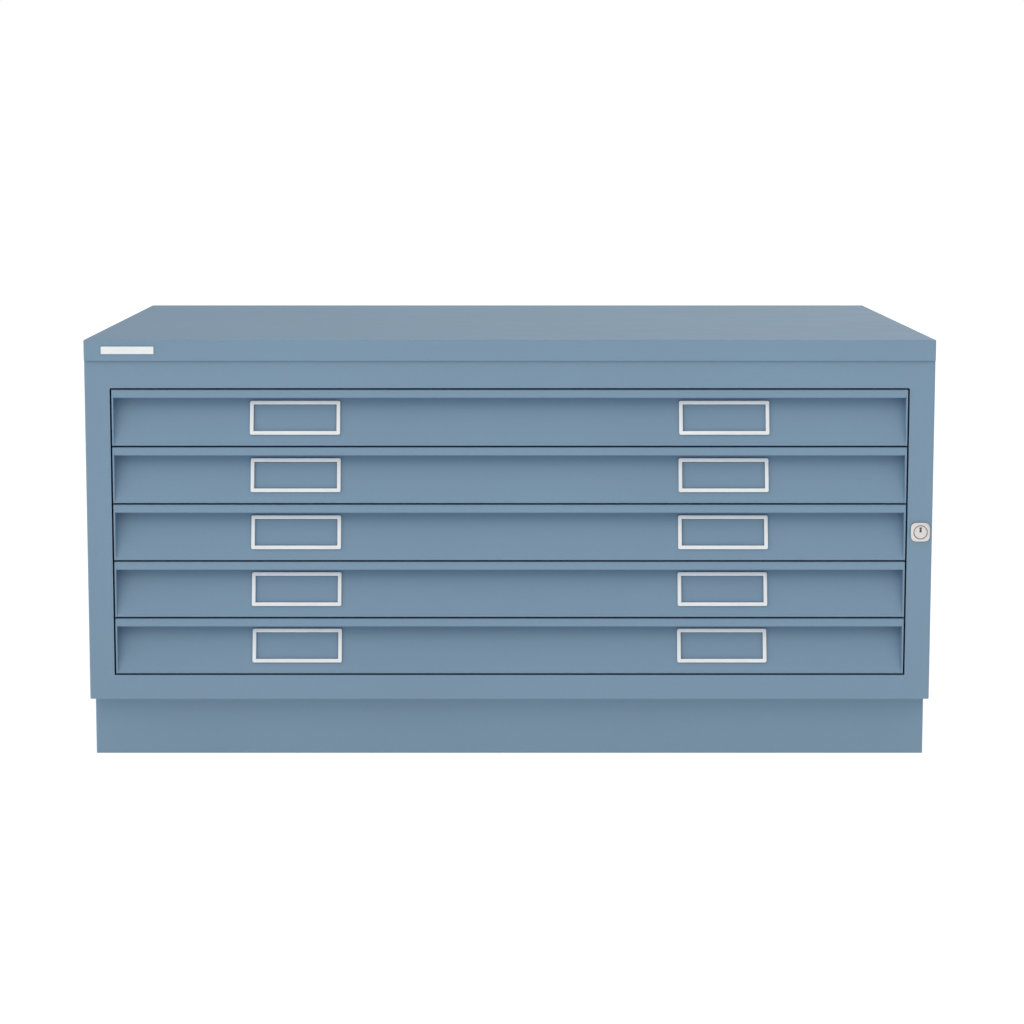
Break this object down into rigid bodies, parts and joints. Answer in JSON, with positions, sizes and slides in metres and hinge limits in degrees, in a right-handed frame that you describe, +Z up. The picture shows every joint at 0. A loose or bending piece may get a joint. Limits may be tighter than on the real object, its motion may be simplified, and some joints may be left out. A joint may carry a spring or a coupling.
{
  "type": "flat file cabinet",
  "caption": "Low steel flat file cabinet on a recessed plinth, with wide shallow drawers on telescopic slides, card holders on the drawer fronts and a side lock.",
  "frame": {"origin": "on the floor, at the centre of the cabinet's footprint", "axes": "+X to the right seen from the front, +Y to the back, +Z up; drawers open along -Y"},
  "size_m": [0.97, 0.705, 0.483],
  "materials": {
    "cabinet_paint": "satin blue-grey powder coat",
    "drawer_paint": "satin blue-grey powder coat",
    "bright_plate": "bright plated steel",
    "satin_nickel": "satin nickel plate",
    "zinc_steel": "bright zinc plated steel"
  },
  "bodies": {
    "cabinet": {"top_panel": "cabinet_paint", "front_frame": "cabinet_paint", "left_side_panel": "cabinet_paint", "right_side_panel": "cabinet_paint", "back_panel": "cabinet_paint", "base_panel": "cabinet_paint", "plinth": "cabinet_paint", "nameplate": "bright_plate", "left_runner_rack": "zinc_steel", "right_runner_rack": "zinc_steel", "lock_housing": "satin_nickel", "lock_nut": "zinc_steel", "lock_bar_upper_guide": "zinc_steel", "lock_bar_lower_guide": "zinc_steel"},
    "drawer_1": {"drawer_1_front": "drawer_paint", "drawer_1_tray": "drawer_paint", "drawer_1_left_card_holder": "bright_plate", "drawer_1_right_card_holder": "bright_plate", "drawer_1_left_inner_slide": "zinc_steel", "drawer_1_right_inner_slide": "zinc_steel"},
    "drawer_1_middle_slides": {"drawer_1_left_middle_slide": "zinc_steel", "drawer_1_right_middle_slide": "zinc_steel"},
    "drawer_2": {"drawer_2_front": "drawer_paint", "drawer_2_tray": "drawer_paint", "drawer_2_left_card_holder": "bright_plate", "drawer_2_right_card_holder": "bright_plate", "drawer_2_left_inner_slide": "zinc_steel", "drawer_2_right_inner_slide": "zinc_steel"},
    "drawer_2_middle_slides": {"drawer_2_left_middle_slide": "zinc_steel", "drawer_2_right_middle_slide": "zinc_steel"},
    "drawer_3": {"drawer_3_front": "drawer_paint", "drawer_3_tray": "drawer_paint", "drawer_3_left_card_holder": "bright_plate", "drawer_3_right_card_holder": "bright_plate", "drawer_3_left_inner_slide": "zinc_steel", "drawer_3_right_inner_slide": "zinc_steel"},
    "drawer_3_middle_slides": {"drawer_3_left_middle_slide": "zinc_steel", "drawer_3_right_middle_slide": "zinc_steel"},
    "drawer_4": {"drawer_4_front": "drawer_paint", "drawer_4_tray": "drawer_paint", "drawer_4_left_card_holder": "bright_plate", "drawer_4_right_card_holder": "bright_plate", "drawer_4_left_inner_slide": "zinc_steel", "drawer_4_right_inner_slide": "zinc_steel"},
    "drawer_4_middle_slides": {"drawer_4_left_middle_slide": "zinc_steel", "drawer_4_right_middle_slide": "zinc_steel"},
    "drawer_5": {"drawer_5_front": "drawer_paint", "drawer_5_tray": "drawer_paint", "drawer_5_left_card_holder": "bright_plate", "drawer_5_right_card_holder": "bright_plate", "drawer_5_left_inner_slide": "zinc_steel", "drawer_5_right_inner_slide": "zinc_steel"},
    "drawer_5_middle_slides": {"drawer_5_left_middle_slide": "zinc_steel", "drawer_5_right_middle_slide": "zinc_steel"},
    "lock_barrel": {"lock_barrel": "satin_nickel", "lock_cam": "zinc_steel", "lock_cam_screw": "zinc_steel"},
    "lock_bar": {"lock_bar": "zinc_steel"}
  },
  "joints": [
    {"name": "drawer_1_slide", "type": "slide", "parent": "cabinet", "child": "drawer_1", "axis": [0, -1, 0], "range_m": [0, 0.56]},
    {"name": "drawer_1_middle_slide", "type": "slide", "parent": "cabinet", "child": "drawer_1_middle_slides", "axis": [0, -1, 0], "range_m": [0, 0.28]},
    {"name": "drawer_2_slide", "type": "slide", "parent": "cabinet", "child": "drawer_2", "axis": [0, -1, 0], "range_m": [0, 0.56]},
    {"name": "drawer_2_middle_slide", "type": "slide", "parent": "cabinet", "child": "drawer_2_middle_slides", "axis": [0, -1, 0], "range_m": [0, 0.28]},
    {"name": "drawer_3_slide", "type": "slide", "parent": "cabinet", "child": "drawer_3", "axis": [0, -1, 0], "range_m": [0, 0.56]},
    {"name": "drawer_3_middle_slide", "type": "slide", "parent": "cabinet", "child": "drawer_3_middle_slides", "axis": [0, -1, 0], "range_m": [0, 0.28]},
    {"name": "drawer_4_slide", "type": "slide", "parent": "cabinet", "child": "drawer_4", "axis": [0, -1, 0], "range_m": [0, 0.56]},
    {"name": "drawer_4_middle_slide", "type": "slide", "parent": "cabinet", "child": "drawer_4_middle_slides", "axis": [0, -1, 0], "range_m": [0, 0.28]},
    {"name": "drawer_5_slide", "type": "slide", "parent": "cabinet", "child": "drawer_5", "axis": [0, -1, 0], "range_m": [0, 0.56]},
    {"name": "drawer_5_middle_slide", "type": "slide", "parent": "cabinet", "child": "drawer_5_middle_slides", "axis": [0, -1, 0], "range_m": [0, 0.28]},
    {"name": "lock_bar_lift", "type": "slide", "parent": "cabinet", "child": "lock_bar", "axis": [0, 0, 1], "range_m": [0, 0.0141]},
    {"name": "lock_turn", "type": "hinge", "parent": "cabinet", "child": "lock_barrel", "pos_m": [0.4713, -0.349, 0.2623], "axis": [0, 1, 0], "range_deg": [0, 90]}
  ],
  "couplings": [
    {"joint": "drawer_1_middle_slide", "follows": "drawer_1_slide", "ratio": 0.5},
    {"joint": "drawer_2_middle_slide", "follows": "drawer_2_slide", "ratio": 0.5},
    {"joint": "drawer_3_middle_slide", "follows": "drawer_3_slide", "ratio": 0.5},
    {"joint": "drawer_4_middle_slide", "follows": "drawer_4_slide", "ratio": 0.5},
    {"joint": "drawer_5_middle_slide", "follows": "drawer_5_slide", "ratio": 0.5},
    {"joint": "lock_turn", "follows": "lock_bar_lift", "rad_per_m": 111.4}
  ]
}
